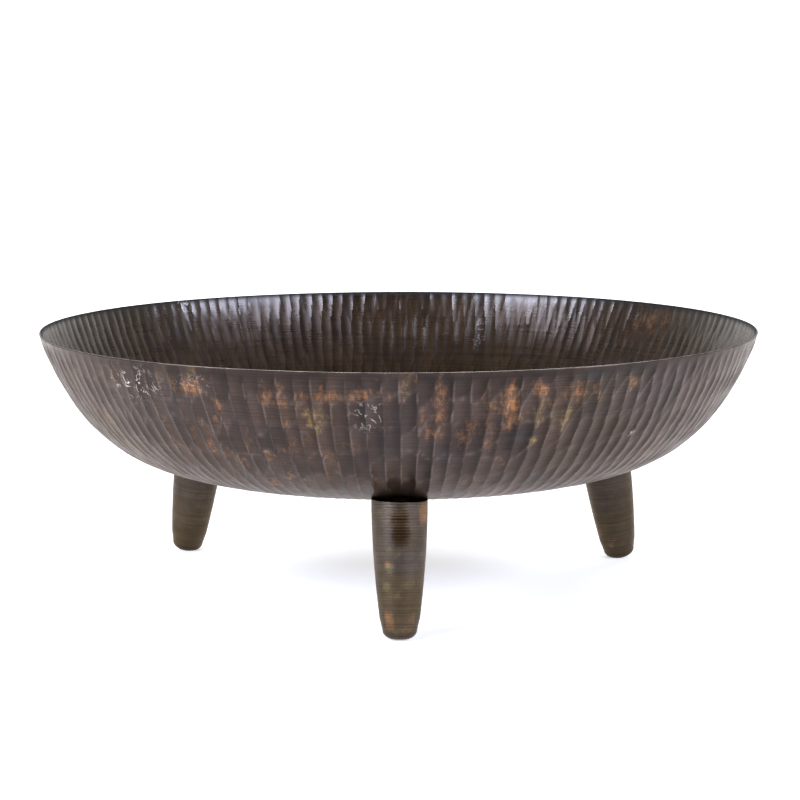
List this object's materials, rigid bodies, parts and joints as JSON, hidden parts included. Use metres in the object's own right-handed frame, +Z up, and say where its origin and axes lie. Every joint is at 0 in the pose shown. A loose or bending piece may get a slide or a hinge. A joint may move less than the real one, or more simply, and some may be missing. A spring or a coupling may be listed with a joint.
{
  "type": "fire pit with grate",
  "caption": "Wide shallow hammered metal fire bowl on short splayed turned legs, with a round lift-out log grate of parallel rods lying inside the bowl.",
  "frame": {"origin": "on the floor, under the centre of the bowl's rim", "axes": "+Z up along the bowl's axis, +X to the viewer's right, -Y towards the front leg"},
  "size_m": [0.66, 0.66, 0.2385],
  "materials": {
    "hammered_bronze_patina": "hand-hammered steel with a dark brown-bronze patina, rubbed through to copper and brass tones in places",
    "turned_bronze_patina": "lathe-turned steel with fine turned rings under a dark olive-bronze patina",
    "zinc_fastener": "dull zinc-plated steel",
    "black_grate_iron": "matt black heat-resistant coating on round steel bar"
  },
  "bodies": {
    "fire_bowl": {"bowl": "hammered_bronze_patina", "leg_bolt_front": "zinc_fastener", "leg_bolt_left": "zinc_fastener", "leg_bolt_right": "zinc_fastener", "leg_cap_front": "zinc_fastener", "leg_cap_left": "zinc_fastener", "leg_cap_right": "zinc_fastener", "leg_front": "turned_bronze_patina", "leg_left": "turned_bronze_patina", "leg_right": "turned_bronze_patina", "leg_spacer_front": "zinc_fastener", "leg_spacer_left": "zinc_fastener", "leg_spacer_right": "zinc_fastener", "leg_washer_front": "zinc_fastener", "leg_washer_left": "zinc_fastener", "leg_washer_right": "zinc_fastener"},
    "grate": {"grate_cross_bar_back": "black_grate_iron", "grate_cross_bar_front": "black_grate_iron", "grate_handle_left": "black_grate_iron", "grate_handle_right": "black_grate_iron", "grate_ring": "black_grate_iron", "grate_rod_01": "black_grate_iron", "grate_rod_02": "black_grate_iron", "grate_rod_03": "black_grate_iron", "grate_rod_04": "black_grate_iron", "grate_rod_05": "black_grate_iron", "grate_rod_06": "black_grate_iron", "grate_rod_07": "black_grate_iron", "grate_rod_08": "black_grate_iron", "grate_rod_09": "black_grate_iron", "grate_rod_10": "black_grate_iron", "grate_rod_11": "black_grate_iron", "grate_rod_12": "black_grate_iron", "grate_rod_13": "black_grate_iron"}
  },
  "joints": [
    {"name": "grate_lift", "type": "slide", "parent": "fire_bowl", "child": "grate", "axis": [0, 0, 1], "range_m": [0, 0.15]}
  ]
}
